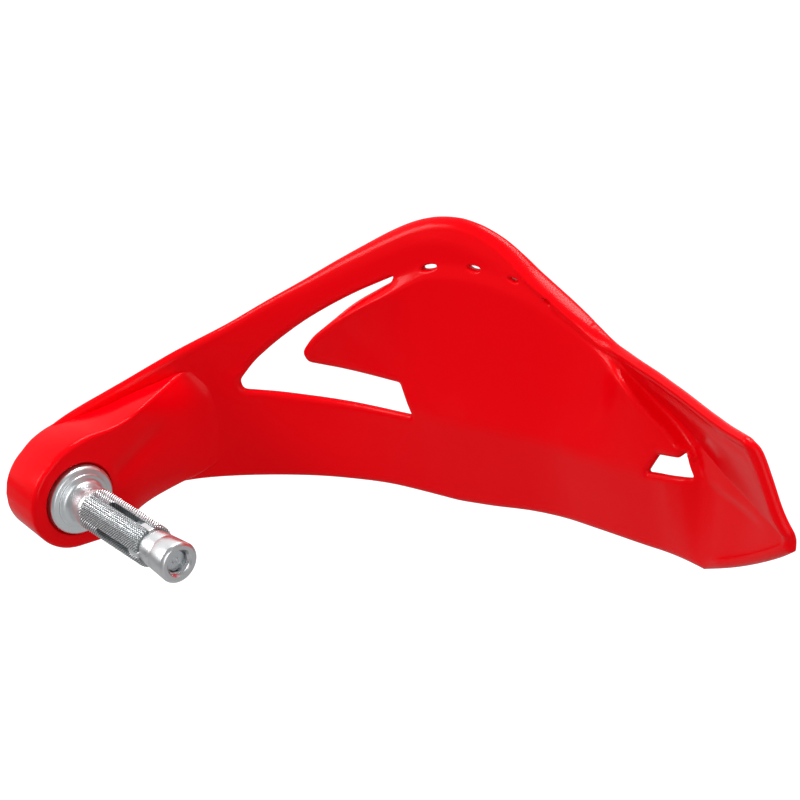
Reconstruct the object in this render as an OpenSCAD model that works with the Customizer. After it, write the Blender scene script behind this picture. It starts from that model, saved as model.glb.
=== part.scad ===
// Motorcycle hand guard, left side, with its bar end expander.
// The origin is on the handlebar's axis, where the bar's end stops on the flange. +X runs
// inboard along the bar, +Y points forward, away from the rider, and +Z is up.

/* [Guard outline] */
// Reach of the guard inboard, from the boss's inboard face to its tip
reach = 220; // [180:1:250]
// How far the skin stands in front of the bar's axis
forward = 101; // [85:1:120]
// Height of the peak over the bar's axis
peak_h = 93; // [80:1:105]
// Height of the inboard wing over the bar's axis
wing_h = 71; // [62:1:78]
// Height of the tip over the bar's axis
tip_h = 46; // [40:1:50]

/* [Guard skin] */
// Wall of the moulded skin
wall = 3.2; // [2.4:0.1:4]
// How far the middle panel is set in towards the rider
panel_in = 5; // [2:0.5:8]
// Height of the sloped ledge over the panel
ledge_h = 3; // [2:0.5:5]
// How far the peak's rim curls away from the rider
rim_curl = 4; // [0:0.5:6]
// How far the wing folds in towards the rider
wing_fold = 9; // [4:0.5:12]
// Length of the small vents in the ledge
oval_len = 3.6; // [2.6:0.2:6]
// Height of the small vents in the ledge
oval_h = 1.6; // [1:0.1:2.4]
// Height of the plain band under the top rim
band_h = 6; // [3:0.5:9]

/* [Boss] */
// Radius of the boss at its inboard face
boss_r = 17.25; // [15:0.25:19]
// How much smaller the boss is at its outboard face, for mould draft
boss_draft = 0.75; // [0:0.25:1]
// Depth of the boss along the bar
boss_depth = 19; // [18:0.5:24]
// Depth of the shallow seat around the flange
seat_depth = 1.6; // [1:0.1:3]
// How far the bolt's head sinks under the boss's outboard face
head_sink = 0.6; // [0.2:0.1:1.5]

/* [Expander] */
// Radius of the knurled sleeve, for the bore of the handlebar
sleeve_r = 7; // [6:0.1:9]
// Where the sleeve ends, from the boss's face
sleeve_end = 42; // [38:0.5:50]
// Radius of the flange that stops the bar
flange_r = 11.5; // [10.5:0.1:13]
// Where the flange's front face lies, from the boss's face
flange_front = 2; // [1:0.5:4]
// Bevel around the flange's front face
flange_bevel = 0.8; // [0.2:0.1:1.2]
// Height of the ring around the neck's foot
ring_h = 0.6; // [0.2:0.1:1]
// Radius of the fillet at the neck's foot
neck_fillet = 1.6; // [1:0.1:2]
// Width of the ring's flat around the fillet
ring_flat = 1; // [0.5:0.1:1.4]
// Radius of the plain neck
neck_r = 6.6; // [5.8:0.1:6.9]
// Where the knurl starts, from the boss's face
knurl_start = 9; // [6:0.5:14]
// Length of the cone that leads onto the knurl
knurl_lead = 1; // [0.5:0.5:2]
// Chamfer at the sleeve's end
sleeve_edge = 0.4; // [0.2:0.1:0.6]
// Width of the sleeve's slots
slot_w = 2.2; // [1.5:0.1:3]
// Where the slots start, from the boss's face
slot_start = 20; // [16:0.5:26]
// Angle of the first slot around the axis
slot_angle = 8; // [0:1:45]
// Radius of the wedge nut's free end
wedge_r = 6.7; // [5.9:0.1:6.9]
// Where the wedge nut's face lies, from the boss's face
wedge_end = 56; // [52:0.5:64]
// How deep the wedge nut reaches into the sleeve
wedge_in = 9; // [5:0.5:12]
// Half angle of the wedge nut's taper
wedge_angle = 4.5; // [3:0.25:5]
// Chamfer at the wedge nut's free end
wedge_edge = 1; // [0.5:0.1:1.2]
// Length of the wedge nut's keys
key_len = 5; // [3:0.5:7]
// How far the keys reach past the sleeve's end
key_out = 0.5; // [0.3:0.1:1]
// How far the keys stay under the knurl
key_low = 0.5; // [0.3:0.1:1]

/* [Bolt] */
// Radius of the draw bolt's shank
bolt_r = 4; // [3:0.5:4]
// Radius of the bolt's head
head_r = 6.5; // [6:0.1:7]
// Height of the bolt's head
head_h = 8; // [5:0.5:8.5]
// Chamfer of the bolt's head
head_edge = 0.6; // [0.3:0.1:1]
// Width across the flats of the bolt's socket
socket_af = 6; // [4:0.5:6]
// How far the bolt's tip sits inside the wedge nut's face
tip_in = 2.5; // [0.5:0.5:6]
// Chamfer of the bolt's tip
tip_edge = 0.8; // [0.4:0.1:1.2]
// Radius of the centre mark in the bolt's tip
mark_r = 1.2; // [0.6:0.1:1.4]
// Radius of the washer
washer_r = 8; // [7.2:0.1:8.2]
// Thickness of the washer
washer_t = 1.6; // [1:0.1:2]
// Radius of the bush in the boss
bush_r = 6.5; // [5.6:0.1:7]

/* [Fits] */
// Radial gap between parts that turn or slide on each other
run_gap = 0.05; // [0.02:0.01:0.1]
// Radial gap around the bolt in the sleeve and the bush
bolt_gap = 0.2; // [0.1:0.05:0.3]
// Gap around the flange in its seat
seat_gap = 0.8; // [0.4:0.1:1.4]
// Room in the sleeve between its throat and the wedge nut
throat_room = 1; // [0.5:0.5:3]
// Gap around the bolt's head and washer in the boss
head_gap = 0.5; // [0.3:0.1:1]
// Gap at each side of the wedge nut's keys
key_gap = 0.15; // [0.1:0.05:0.3]

/* [Hidden] */
$fn = 72;
lap = 1;

// Places along the bar's axis, from the boss's inboard face, that several pieces share.
seat_r = flange_r + seat_gap;
head_room = head_h + washer_t + head_sink;
washer_x = -boss_depth + head_room - washer_t;
bush_x = washer_x + washer_t;
flange_back = -seat_depth;
clear_x = boss_r;

// Puts a piece drawn from the boss's inboard face into the part's frame.
module from_stop() {
    translate([-flange_front, 0, 0]) children();
}

// Distances along the skin of its corners, in shares of the whole run.
heel_s = 0.841;
shoulder_s = 0.952;

// Lines of the skin, from the boss to the tip. The first value is the share of the run.
PLAN_X = [[-0.04, -0.0705], [0, -0.0705], [0.076, -0.061], [0.142, -0.032], [0.214, 0.027],
    [0.307, 0.127], [0.417, 0.259], [0.536, 0.409], [0.648, 0.555], [0.766, 0.709],
    [0.886, 0.864], [1, 1]];
PLAN_Y = [[-0.04, -0.115], [0, 0], [0.076, 0.218], [0.142, 0.396], [0.214, 0.554],
    [0.307, 0.708], [0.417, 0.842], [0.536, 0.946], [0.648, 1], [0.766, 1],
    [0.886, 0.931], [1, 0.842]];
BOTTOM_Z = [[-0.035, -12.5], [-0.015, -15.4], [0, -16.6], [0.022, -16.8], [0.05, -15.4],
    [0.09, -12.9], [0.121, -11.3], [0.166, -9.2], [0.231, -6.9],
    [0.341, -2.6], [0.417, -0.6], [0.483, -0.3], [0.521, 1], [0.586, 4.6], [0.683, 8.5],
    [0.759, 11.4], [heel_s, 15.4]];
HEEL_Z = [[heel_s, 15.4], [0.907, 25.5], [0.979, 38.2], [1, 42.5]];
RIDGE_Z = [[-0.035, -13], [-0.015, -16], [0, -17.1], [0.022, -17.3], [0.05, -15.8],
    [0.09, -12.4], [0.148, -8.3], [0.169, -6.7], [0.2, 0], [0.228, 14], [0.276, 26],
    [0.317, 29.5], [0.428, 31], [0.466, 30], [0.586, 32.4],
    [0.7, 35.3], [0.779, 39.5], [0.828, 42.3], [0.93, 43.6], [1, 44]];
LEDGE_Z = [[-0.035, 12], [-0.02, 17], [0, 19.6], [0.02, 21], [0.043, 22.4], [0.086, 25],
    [0.132, 27.7], [0.162, 29.5],
    [0.2, 30.5], [0.228, 32], [0.262, 38], [0.328, 55], [0.407, 70.5], [0.459, 78.5],
    [0.514, 80.2], [0.566, 79], [0.61, 75.6], [0.655, 71.5], [0.7, 65.8], [0.748, 60.4],
    [0.807, 55.1], [0.893, 49], [0.966, 46.5], [1, 45.5]];
TOP_Z = [[-0.035, 13], [-0.02, 18], [0, 20.6], [0.02, 22], [0.043, 23.6], [0.086, 27.9],
    [0.131, 34.2], [0.172, 40.5],
    [0.214, 47.7], [0.255, 55.9], [0.297, 64.3], [0.334, 72.1], [0.369, 79.2], [0.417, 88.1],
    [0.452, 92.1], [0.485, 93], [0.517, 91.2], [0.541, 88.5], [0.579, 82.4], [0.617, 77.3],
    [0.659, 72.8], [0.7, 70.3], [0.745, 70.9], [0.831, 70.9], [0.9, 71], [shoulder_s, 72.2]];
SHOULDER_Z = [[shoulder_s, 72.2], [0.962, 71], [0.976, 63], [0.99, 53.5], [1, 48]];

// How far the lines stand in towards the rider from the skin's plan line. The arm's block is
// flush with the boss's inboard face.
block_in = reach * 0.0696;
RIDGE_IN = [[-0.035, block_in], [0.069, block_in], [0.093, 0.85 * block_in],
    [0.148, 0.52 * block_in], [0.169, 0.33 * block_in], [0.2, 0.03 * block_in], [0.241, 0],
    [0.31, 0], [0.428, 0.8 * panel_in], [0.517, 1.2 * panel_in], [0.807, 1.2 * panel_in],
    [0.828, 0.8 * panel_in], [0.852, 0], [1, 0]];
PANEL_IN = [[-0.035, block_in], [0.062, block_in], [0.095, 0.85 * block_in],
    [0.129, 0.44 * block_in], [0.162, 0.02 * block_in], [0.207, 0], [0.276, 0.4 * panel_in],
    [0.328, 0.8 * panel_in], [0.407, panel_in], [0.707, panel_in], [0.728, 0.8 * panel_in],
    [0.752, 0], [1, 0]];
TOP_IN = [[-0.035, 0], [0.069, 0], [0.207, -0.1 * rim_curl], [0.345, -0.6 * rim_curl],
    [0.448, -rim_curl], [0.552, -rim_curl], [0.638, -0.6 * rim_curl], [0.7, 0.1 * wing_fold],
    [0.745, 0.55 * wing_fold], [0.81, 0.9 * wing_fold], [shoulder_s, wing_fold],
    [0.976, 0.6 * wing_fold], [1, 0.1 * wing_fold]];
LEDGE_DROP = [[-0.035, ledge_h / 3], [0.15, ledge_h / 3], [0.25, 0.6 * ledge_h],
    [0.35, ledge_h], [0.7, ledge_h], [0.8, 0.67 * ledge_h], [1, ledge_h / 3]];

// A smooth line through the given points that doesn't swing past them.
function slope(k, i) = (k[i + 1][1] - k[i][1]) / (k[i + 1][0] - k[i][0]);
function tangent(k, i) = i == 0 ? slope(k, 0) : i == len(k) - 1 ? slope(k, i - 1)
    : slope(k, i - 1) * slope(k, i) <= 0 ? 0
    : 2 * slope(k, i - 1) * slope(k, i) / (slope(k, i - 1) + slope(k, i));
function span(k, s, i = 0) = i < len(k) - 2 && s > k[i + 1][0] ? span(k, s, i + 1) : i;
function ease(k, s, i, h, t) =
    (2 * t ^ 3 - 3 * t ^ 2 + 1) * k[i][1] + (t ^ 3 - 2 * t ^ 2 + t) * h * tangent(k, i)
    + (3 * t ^ 2 - 2 * t ^ 3) * k[i + 1][1] + (t ^ 3 - t ^ 2) * h * tangent(k, i + 1);
function line(k, s) = let(i = span(k, s), h = k[i + 1][0] - k[i][0])
    ease(k, s, i, h, min(max((s - k[i][0]) / h, 0), 1));

// The skin's plan line and its level direction towards the rider.
function plan(s) = [reach * line(PLAN_X, s), forward * line(PLAN_Y, s)];
function inward(s) = let(d = plan(s + 0.004) - plan(s - 0.004), n = norm(d)) [d[1] / n, -d[0] / n];

// The lines were drawn for these sizes, and stretch with the driving ones.
drawn_boss = 17.25;
drawn_peak = 93;
drawn_wing = 71;
drawn_tip = 46;
boss_k = boss_r / drawn_boss;
peak_k = peak_h / drawn_peak;
wing_k = wing_h / drawn_wing;
tip_k = tip_h / drawn_tip;
function blend3(s) = s < 0.2 ? mix(boss_k, peak_k, min(max(s / 0.2, 0), 1))
    : s < 0.5 ? peak_k
    : s < 0.75 ? mix(peak_k, wing_k, (s - 0.5) / 0.25)
    : mix(wing_k, tip_k, (s - 0.75) / 0.25);
function bottom_z(s) = blend3(s) * (s < heel_s ? line(BOTTOM_Z, s) : line(HEEL_Z, s));
function top_z(s) = blend3(s) * (s < shoulder_s ? line(TOP_Z, s) : line(SHOULDER_Z, s));
function ridge_z(s) = blend3(s) * line(RIDGE_Z, s);
function ledge_z(s) = min(blend3(s) * line(LEDGE_Z, s), top_z(s) - wall / 4);

// The rows of a section of the skin, each a height and a depth towards the rider.
function mix(a, b, t) = a + (b - a) * t;
function flush(s, d) = s < 0.12 ? min(d, -plan(s)[0] / inward(s)[0]) : d;
function rows(s) = let(
    low = [bottom_z(s), 0],
    ridge = [ridge_z(s), flush(s, line(RIDGE_IN, s))],
    panel = [ledge_z(s) - line(LEDGE_DROP, s), flush(s, line(PANEL_IN, s))],
    ledge = [ledge_z(s), 0],
    top = [top_z(s), line(TOP_IN, s)],
    hold = min(band_h, (top[0] - ledge[0]) / 2),
    band = [top[0] - hold, top[1] > 0 ? top[1] * 0.8 : top[1] * 0.2])
    [low, mix(low, ridge, 0.5), ridge, mix(ridge, panel, 0.33), mix(ridge, panel, 0.67), panel,
        ledge, mix(ledge, band, 0.5), band, mix(band, top, 0.5) - [0, top[1] * 0.08], top];
function inner(s) = let(p = plan(s), n = inward(s))
    [for (r = rows(s)) [p[0] + n[0] * r[1], p[1] + n[1] * r[1], r[0]]];
// The outside follows the inside a wall away, except behind the thick arm, where it is plain.
THIN = [[-0.035, 0], [0.17, 0], [0.23, 1], [1, 1]];
function outer(s) = let(p = plan(s), n = inward(s), thin = line(THIN, s), r = rows(s),
    last = len(r) - 1)
    [for (i = [0:last]) let(out = thin * r[i][1] - wall,
        z = mix(mix(r[0][0], r[last][0], i / last), r[i][0], thin))
        [p[0] + n[0] * out, p[1] + n[1] * out, z]];
function ring(s) = let(a = inner(s), b = outer(s), n = len(a))
    [each a, each [for (i = [n - 1:-1:0]) b[i]]];

// Where the skin's sections lie along its run, closer where it changes fast.
STATIONS = [-0.035, each [-0.02:0.02:0.2], each [0.22:0.02:0.7], each [0.71:0.01:0.83], heel_s,
    0.855, 0.87, 0.885, 0.9, 0.915, 0.93, 0.942, shoulder_s, 0.964, 0.976, 0.988, 1];

module loft(rings) {
    n = len(rings[0]);
    m = len(rings);
    points = [for (r = rings) each r];
    sides = [for (j = [0:m - 2], i = [0:n - 1], k = [0, 1]) let(a = j * n + i,
        b = j * n + (i + 1) % n) k == 0 ? [a, b, a + n] : [b, b + n, a + n]];
    half = n / 2;
    cap = [for (i = [0:half - 2], k = [0, 1]) k == 0 ? [i + 1, i, n - 1 - i]
        : [n - 2 - i, i + 1, n - 1 - i]];
    far = [for (f = cap) [f[2] + (m - 1) * n, f[1] + (m - 1) * n, f[0] + (m - 1) * n]];
    polyhedron(points, [each sides, each cap, each far], convexity = 8);
}

// Cuts an outline, given along the skin and in height, straight through the skin.
module through_skin(outline, s) {
    n = inward(s);
    p = plan(s);
    side = [-n[1], n[0]];
    cut = wall * 10;
    translate([p[0], p[1], 0])
        multmatrix([[side[0], 0, n[0], 0], [side[1], 0, n[1], 0], [0, 1, 0, 0], [0, 0, 0, 1]])
            translate([0, 0, -cut])
                linear_extrude(2 * cut)
                    polygon([for (q = outline)
                        [(plan(q[0]) + q[2] * panel_in * inward(q[0]) - p) * side,
                            q[1] * blend3(q[0])]]);
}

// The large vent: its frame edge, then its panel edge. Each point is a share of the run, a
// height, and a share of the panel's depth.
VENT = [[0.406, 71, 0], [0.36, 63.4, 0], [0.327, 57, 0], [0.295, 50, 0], [0.263, 41.8, 0],
    [0.239, 34.4, 0], [0.226, 29, 0], [0.224, 26.5, 0], [0.226, 25.2, 0], [0.231, 24.6, 0],
    [0.317, 24.8, 0], [0.428, 27.1, 0], [0.421, 37.3, 1], [0.326, 37.1, 1], [0.309, 37.8, 1],
    [0.3, 40.8, 1], [0.31, 46.8, 1], [0.334, 53, 1], [0.36, 60.3, 1], [0.405, 69, 1]];
// The small window at the panel's inboard end.
WINDOW = [[0.779, 45.5, 0], [0.811, 47.7, 0], [0.818, 50.4, 0], [0.829, 48.1, 0],
    [0.839, 44.5, 0], [0.768, 38.8, 0]];
OVALS = [0.459, 0.513, 0.565, 0.609, 0.655];

module guard_blank() {
    loft([for (s = STATIONS) ring(s)]);
    translate([-boss_depth, 0, 0]) rotate([0, 90, 0])
        cylinder(h = boss_depth, r1 = boss_r - boss_draft, r2 = boss_r);
}

// The stepped hole through the boss: bolt head, bush, and the flange's seat.
module boss_hole() {
    rotate([0, 90, 0]) rotate_extrude() polygon([[0, -boss_depth - lap],
        [washer_r + head_gap, -boss_depth - lap], [washer_r + head_gap, bush_x],
        [bush_r, bush_x], [bush_r, flange_back], [seat_r, flange_back], [seat_r, clear_x],
        [0, clear_x]]);
}

module guard_shell() {
    color("red") from_stop() difference() {
        difference() {
            difference() {
                guard_blank();
                through_skin(VENT, 0.31);
                through_skin(WINDOW, 0.805);
            }
            for (s = OVALS) oval(s);
        }
        boss_hole();
    }
}

// A small vent that opens the ledge over the panel.
module oval(s) {
    n = inward(s);
    p = plan(s);
    translate([p[0], p[1], ledge_z(s) - ledge_h / 2]) rotate([0, 0, atan2(n[1], n[0])])
        rotate([0, 90, 0]) translate([0, 0, -wall * 3]) linear_extrude(wall * 8) hull()
            for (k = [-1, 1]) translate([0, k * (oval_len - oval_h) / 2])
                circle(d = oval_h, $fn = 32);
}

module boss_bush() {
    color("gainsboro") from_stop() translate([bush_x, 0, 0]) rotate([0, 90, 0]) difference() {
        cylinder(h = flange_back - bush_x, r = bush_r);
        translate([0, 0, -lap]) cylinder(h = boss_depth, r = bolt_r + bolt_gap);
    }
}

// Radius of the wedge nut's taper at a place along the axis, and of the sleeve's mouth.
taper = tan(wedge_angle);
wedge_start = sleeve_end - wedge_in;
function wedge_at(x) = wedge_r - (wedge_end - wedge_edge - x) * taper;
throat_r = bolt_r + bolt_gap;
throat_x = wedge_start - throat_room;

module expander_sleeve() {
    ring_r = neck_r + neck_fillet + ring_flat;
    root = [for (a = [90:-15:0]) [neck_r + neck_fillet * (1 - cos(a)),
        flange_front + ring_h + neck_fillet * (1 - sin(a))]];
    color("silver") from_stop() rotate([slot_angle - 45, 0, 0]) difference() {
        rotate([0, 90, 0]) rotate_extrude() polygon([[throat_r, flange_back],
            [flange_r, flange_back], [flange_r, flange_front - flange_bevel],
            [flange_r - flange_bevel, flange_front], [ring_r, flange_front],
            [ring_r, flange_front + ring_h / 2],
            each root, [neck_r, knurl_start - knurl_lead], [sleeve_r, knurl_start],
            [sleeve_r, sleeve_end - sleeve_edge],
            [sleeve_r - 0.75 * sleeve_edge, sleeve_end],
            [wedge_at(sleeve_end) + run_gap, sleeve_end],
            [wedge_at(wedge_start) + run_gap, wedge_start],
            [wedge_at(wedge_start) + run_gap, throat_x], [throat_r, throat_x]]);
        for (k = [0:3]) rotate([k * 90 + 45, 0, 0]) {
            translate([slot_start + slot_w / 2, -slot_w / 2, 0])
                cube([sleeve_end, slot_w, sleeve_r + lap]);
            translate([slot_start + slot_w / 2, 0, 0]) cylinder(h = sleeve_r + lap, d = slot_w);
        }
    }
}

module wedge_nut() {
    key_start = sleeve_end - key_len + key_out;
    key_foot = bolt_r + wall / 3;
    color("lightgray") from_stop() difference() {
        union() {
            rotate([0, 90, 0]) rotate_extrude() polygon([[0, wedge_start],
                [wedge_at(wedge_start), wedge_start], [wedge_r, wedge_end - wedge_edge],
                [wedge_r - 0.9 * wedge_edge, wedge_end], [0, wedge_end]]);
            for (k = [0:3]) rotate([k * 90 + slot_angle, 0, 0])
                translate([key_start, -slot_w / 2 + key_gap, key_foot])
                    cube([key_len, slot_w - 2 * key_gap, sleeve_r - key_low - key_foot]);
        }
        translate([wedge_start - lap, 0, 0]) rotate([0, 90, 0])
            cylinder(h = wedge_end, r = bolt_r + run_gap);
        translate([wedge_end - sleeve_edge, 0, 0]) rotate([0, 90, 0])
            cylinder(h = sleeve_edge + lap, r1 = bolt_r + run_gap,
                r2 = bolt_r + run_gap + sleeve_edge + lap);
    }
}

module draw_bolt() {
    tip_x = wedge_end - tip_in;
    head_x = washer_x - head_h;
    color("silver") from_stop() difference() {
        rotate([0, 90, 0]) rotate_extrude() polygon([[0, head_x], [head_r - head_edge, head_x],
            [head_r, head_x + head_edge], [head_r, washer_x], [bolt_r, washer_x],
            [bolt_r, tip_x - tip_edge], [bolt_r - tip_edge, tip_x], [0, tip_x]]);
        translate([head_x - lap, 0, 0]) rotate([0, 90, 0])
            cylinder(h = head_h / 2 + lap, d = socket_af / cos(30), $fn = 6);
        translate([tip_x - mark_r / 2, 0, 0]) rotate([0, 90, 0])
            cylinder(h = mark_r, r1 = mark_r / 2, r2 = mark_r * 1.5);
    }
}

module bolt_washer() {
    color("gainsboro") from_stop() translate([washer_x, 0, 0]) rotate([0, 90, 0]) difference() {
        cylinder(h = washer_t, r = washer_r);
        translate([0, 0, -lap]) cylinder(h = washer_t + 2 * lap, r = bolt_r + bolt_gap);
    }
}

guard_shell();
boss_bush();
expander_sleeve();
wedge_nut();
draw_bolt();
bolt_washer();
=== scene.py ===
"""Left hand guard of a motorcycle, seen from the rider's side, with its bar end expander."""
import math

import bpy
import numpy as np
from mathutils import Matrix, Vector
from mathutils.geometry import delaunay_2d_cdt
from mathutils.kdtree import KDTree


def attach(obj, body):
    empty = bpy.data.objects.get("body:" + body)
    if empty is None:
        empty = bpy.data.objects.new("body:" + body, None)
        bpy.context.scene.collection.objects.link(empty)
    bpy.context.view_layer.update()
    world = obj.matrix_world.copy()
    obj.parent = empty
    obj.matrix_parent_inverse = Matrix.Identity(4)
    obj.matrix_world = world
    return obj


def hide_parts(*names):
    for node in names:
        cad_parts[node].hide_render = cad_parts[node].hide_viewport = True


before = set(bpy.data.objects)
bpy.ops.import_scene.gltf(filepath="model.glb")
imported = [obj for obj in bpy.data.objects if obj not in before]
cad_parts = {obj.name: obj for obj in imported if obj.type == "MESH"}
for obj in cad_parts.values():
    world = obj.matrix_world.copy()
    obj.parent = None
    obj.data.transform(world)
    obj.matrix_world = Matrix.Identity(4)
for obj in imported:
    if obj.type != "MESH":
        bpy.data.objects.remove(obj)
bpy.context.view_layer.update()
MM = 0.001
# Everything is drawn in millimetres from the boss's inboard face, which lies this far from the
# frame's origin, where the bar's end stops.
FACE = np.array([-2.0, 0, 0]) * MM

# The guard's lines. Each is a list of (distance along the skin, value): the plan line of the
# skin's inner face, then the heights of its edges and folds.
PLAN_X = [(-20, -15.5), (0, -15.5), (22, -13.4), (41.2, -7), (62.1, 5.9), (89, 27.9),
          (120.9, 57), (155.4, 90), (187.9, 122.1), (222.1, 156), (256.9, 190.1), (290, 220)]
PLAN_Y = [(-20, -20), (0, 0), (22, 22), (41.2, 40), (62.1, 56), (89, 71.5), (120.9, 85),
          (155.4, 95.5), (187.9, 101), (222.1, 101), (256.9, 94), (290, 85)]
BOTTOM = [(-10, -12.5), (-4.4, -15.4), (0, -16.6), (6.4, -16.8), (14.5, -15.4), (26.1, -12.9),
          (35.1, -11.3), (48.1, -9.2), (67, -6.9), (98.9, -2.6), (120.9, -0.6), (140, -0.3),
          (151, 1), (170, 4.6), (198, 8.5), (220, 11.4), (243.9, 15.4)]
HEEL = [(243.9, 15.4), (263, 25.5), (284, 38.2), (290, 42.5)]
TOP = [(-10, 12), (-5.8, 15.5), (0, 18.6), (5.8, 21.2), (12.5, 23.6), (25, 27.9), (38, 34.2),
       (49.9, 40.5), (62.1, 47.7), (74, 55.9), (86.1, 64.3), (96.9, 72.1), (107, 79.2),
       (114, 84), (120.9, 88.1), (126, 90.4), (131.1, 92), (136, 92.8), (139, 93), (145, 92.4),
       (149.9, 91.2), (153.4, 90), (156.9, 88.5), (162, 85.8), (167.9, 82.4), (178.9, 77.3),
       (191.1, 72.8), (203, 70.3), (216, 70.9), (241, 70.9), (261, 71), (276.1, 72.2)]
SHOULDER = [(276.1, 72.2), (279, 71), (283, 63), (287.1, 53.5), (290, 48)]
RIDGE = [(60, 12), (66.1, 17), (80, 26), (92, 29.5), (124, 31), (135, 30), (170, 32.4),
         (203, 35.3), (225.9, 39.5), (240, 42.3), (270, 43.6), (290, 44)]
# The panel's upper edge and the ledge over it share their line up to the wing.
LEDGE_START = [(58, 30.5), (66.1, 32), (76, 38), (95.1, 55), (118, 70.5), (133.1, 78.5),
               (149.1, 80.2), (164.1, 79), (176.9, 75.6), (190, 71.5)]
LEDGE = LEDGE_START + [(203, 65.8), (216.9, 60.4), (234, 55.1), (259, 49), (280, 46.5),
                       (290, 45.5)]
PANEL_EDGE = LEDGE_START + [(203, 65.9), (212, 61.7), (220, 57.9), (227.2, 54.9), (232.5, 52.4),
                            (237.2, 50.3), (241, 46), (246, 44.5), (290, 45)]
# How far those lines stand in from the plan line, towards the rider.
RIDGE_IN = [(70, 0), (90, 0), (124, 4), (150, 6), (230, 6), (237, 4.5), (243, 0.5), (249, -0.8),
            (262, -0.8), (280, 0), (290, 0)]
PANEL_IN = [(60, 0), (80, 2), (95, 4), (106, 4.3), (116, 3.4), (126, 1.7), (140, 1.3),
            (188, 1.2), (198, 1.6), (208, 4), (215, 5), (228, 4.4), (237, 3.6), (243, 0.4),
            (249, -0.6), (262, -0.6), (280, 0), (290, 0)]
TOP_IN = [(0, 0), (20, 0), (60, -0.4), (100, -2.4), (130, -4), (160, -4), (185, -2.4), (203, 0.9),
          (216, 5), (235, 8.1), (276.1, 9), (283, 5.4), (290, 0.9)]
# The height over which the ledge falls back to the frame, and the skin's thickness.
LEDGE_DROP = [(60, 1), (72.5, 1.8), (101.5, 4), (184, 4), (200, 1.4), (208, 0.9), (238, 0.9),
              (290, 0.9)]
WALL = 3.2
# The rim of the skin curls over this height, or over half of a narrower band.
CURL = 6


def line(knots, s):
    """A smooth line through the knots that doesn't swing past them."""
    k = np.array(knots, float)
    s = np.clip(np.asarray(s, float), k[0, 0], k[-1, 0])
    h = np.diff(k[:, 0])
    m = np.diff(k[:, 1]) / h
    t = np.empty(len(k))
    t[0], t[-1] = m[0], m[-1]
    both = m[:-1] * m[1:]
    t[1:-1] = np.where(both > 0, 2 * both / np.where(m[:-1] + m[1:] == 0, 1, m[:-1] + m[1:]), 0)
    i = np.clip(np.searchsorted(k[:, 0], s, side="right") - 1, 0, len(h) - 1)
    u = (s - k[i, 0]) / h[i]
    return ((2 * u**3 - 3 * u**2 + 1) * k[i, 1] + (u**3 - 2 * u**2 + u) * h[i] * t[i]
            + (3 * u**2 - 2 * u**3) * k[i + 1, 1] + (u**3 - u**2) * h[i] * t[i + 1])


def plan(s):
    """The skin's plan line, in level millimetres."""
    return np.stack([line(PLAN_X, s), line(PLAN_Y, s)], -1)


def inward(s):
    """The level direction from the skin towards the rider."""
    d = plan(np.asarray(s) + 1.5) - plan(np.asarray(s) - 1.5)
    d = d / np.linalg.norm(d, axis=-1, keepdims=True)
    return np.stack([d[..., 1], -d[..., 0]], -1)


def place(s, z, depth):
    """The point at that distance along the skin, height and depth towards the rider."""
    p = plan(s) + inward(s) * np.asarray(depth)[..., None]
    return np.concatenate([p, np.asarray(z, float)[..., None]], -1) * MM


def bottom_at(s):
    """Height of the lower edge."""
    return np.where(s < HEEL[0][0], line(BOTTOM, s), line(HEEL, s))


def top_at(s):
    """Height of the upper edge."""
    return np.where(s < SHOULDER[0][0], line(TOP, s), line(SHOULDER, s))


def section_depth(s, z):
    """Depth of the skin's inner face towards the rider, with straight lines between the rows."""
    low, top = bottom_at(s), top_at(s)
    crease = np.minimum(line(LEDGE, s), top - 0.8)
    edge = np.minimum(line(PANEL_EDGE, s), crease - 0.02)
    foot = edge - line(LEDGE_DROP, s)
    ridge = np.minimum(line(RIDGE, s), foot - 0.02)
    tip = line(TOP_IN, s)
    hold = np.minimum(CURL, (top - crease) / 2)
    # A rim that stands in towards the rider is led up to evenly by the whole band, and one
    # that leans away curls near its edge.
    band = np.where(tip > 0, tip * 0.8, tip * 0.2)
    zs = [low, ridge, foot, edge, crease, top - hold, top - hold / 2, top]
    ds = [0 * s, line(RIDGE_IN, s), line(PANEL_IN, s), 0 * s, 0 * s, band,
          (band + tip) / 2 - tip * 0.08, tip]
    out = np.zeros_like(s)
    for a in range(len(zs) - 1):
        gap = np.maximum(zs[a + 1] - zs[a], 1e-6)
        u = (z - zs[a]) / gap
        inside = (u >= 0) & (u <= 1) if a else (u <= 1)
        out = np.where(inside, ds[a] + (ds[a + 1] - ds[a]) * np.clip(u, 0, 1), out)
    return np.where(z > zs[-1], ds[-1], out)


# The folds away from the ledge are blended over this height.
SOFTEST = 3.0


def soft_depth(s, z, least):
    """section_depth with its corners rounded: by the least reach at the ledge, and more softly
    away from it. It is a weighted mean of samples above and below."""
    drop = line(LEDGE_DROP, s)
    away = np.minimum(np.abs(z - line(PANEL_EDGE, s) + drop / 2) - drop / 2,
                      np.abs(z - line(LEDGE, s)))
    reach = np.clip(least + 0.5 * (away - 1), least, np.maximum(least, SOFTEST))
    shifts = np.linspace(-1, 1, 13)
    weights = 1 - np.abs(shifts) * 0.9
    total = sum(section_depth(s, z + k * reach) * w for k, w in zip(shifts, weights))
    return total / sum(weights)


def resample(points, spacing):
    """Points at an even spacing along a closed line, which keep its corners."""
    p = np.array(points, float)
    p = np.vstack([p, p[:1]])
    out = []
    for a, b in zip(p[:-1], p[1:]):
        n = max(1, int(round(np.linalg.norm(b - a) / spacing)))
        out += [a + (b - a) * i / n for i in range(n)]
    return np.array(out)


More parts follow.
